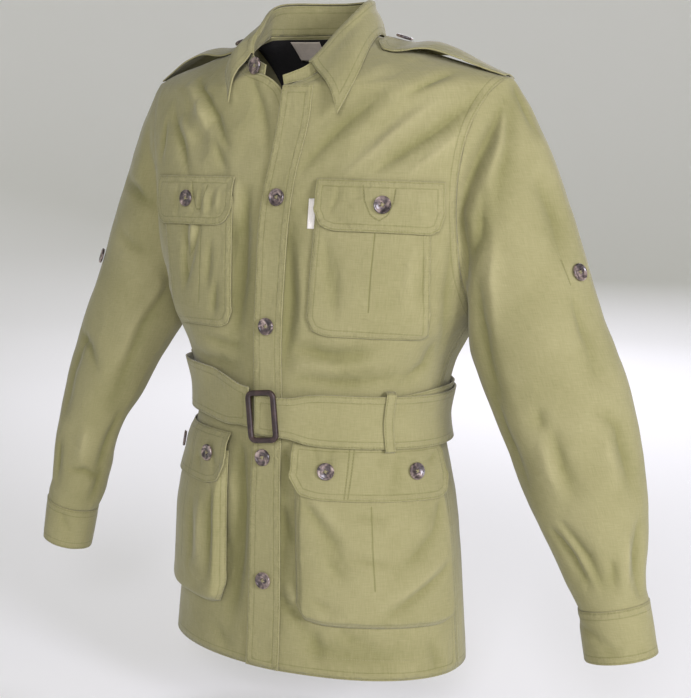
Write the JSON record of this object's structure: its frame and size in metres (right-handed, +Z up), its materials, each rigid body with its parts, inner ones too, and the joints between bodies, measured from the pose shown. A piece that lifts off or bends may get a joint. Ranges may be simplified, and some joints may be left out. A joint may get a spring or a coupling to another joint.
{
  "type": "safari jacket",
  "caption": "Long-sleeved khaki safari jacket, worn and hollow, with a collar, shoulder straps, flapped chest and hip pockets and its own buckled belt.",
  "frame": {"origin": "middle of the neck opening, where the wearer holds the jacket, just below the collar's seam", "axes": "+Z up along the wearer's neck, -Y out of the jacket's front, +X to the wearer's left"},
  "size_m": [0.8186, 0.2595, 0.7458],
  "materials": {
    "khaki_cloth": "plain-woven sage khaki cotton, matt, pressed",
    "lining": "dark plain-woven lining, matt",
    "horn": "mottled brown and grey imitation horn, polished",
    "dark_buckle": "very dark brown imitation leather or plastic, soft sheen",
    "beige_label": "bare woven label, matt",
    "white_label": "bare off-white woven label, matt"
  },
  "bodies": {
    "root": {"back": "khaki_cloth", "belt": "khaki_cloth", "belt_buckle": "dark_buckle", "belt_loop_left_back": "khaki_cloth", "belt_loop_left_front": "khaki_cloth", "belt_loop_right_back": "khaki_cloth", "belt_loop_right_side": "khaki_cloth", "belt_tail": "khaki_cloth", "button_chest_left": "horn", "button_chest_right": "horn", "button_cuff_left": "horn", "button_cuff_right": "horn", "button_epaulette_left": "horn", "button_epaulette_right": "horn", "button_front_1": "horn", "button_front_2": "horn", "button_front_3": "horn", "button_front_4": "horn", "button_hip_left_1": "horn", "button_hip_left_2": "horn", "button_hip_right_1": "horn", "button_hip_right_2": "horn", "button_neckband": "horn", "button_tab_left": "horn", "button_tab_right": "horn", "chest_flap_left": "khaki_cloth", "chest_flap_right": "khaki_cloth", "chest_pocket_left": "khaki_cloth", "chest_pocket_right": "khaki_cloth", "collar_leaf": "khaki_cloth", "collar_stand": "khaki_cloth", "cuff_left": "khaki_cloth", "cuff_right": "khaki_cloth", "epaulette_left": "khaki_cloth", "epaulette_right": "khaki_cloth", "front_left": "khaki_cloth", "front_right": "khaki_cloth", "hip_flap_left": "khaki_cloth", "hip_flap_right": "khaki_cloth", "hip_pocket_left": "khaki_cloth", "hip_pocket_right": "khaki_cloth", "label_neck": "beige_label", "label_pocket": "white_label", "label_size": "white_label", "neck_lining": "lining", "placket": "khaki_cloth", "sleeve_left": "khaki_cloth", "sleeve_right": "khaki_cloth", "yoke": "khaki_cloth"}
  },
  "joints": []
}
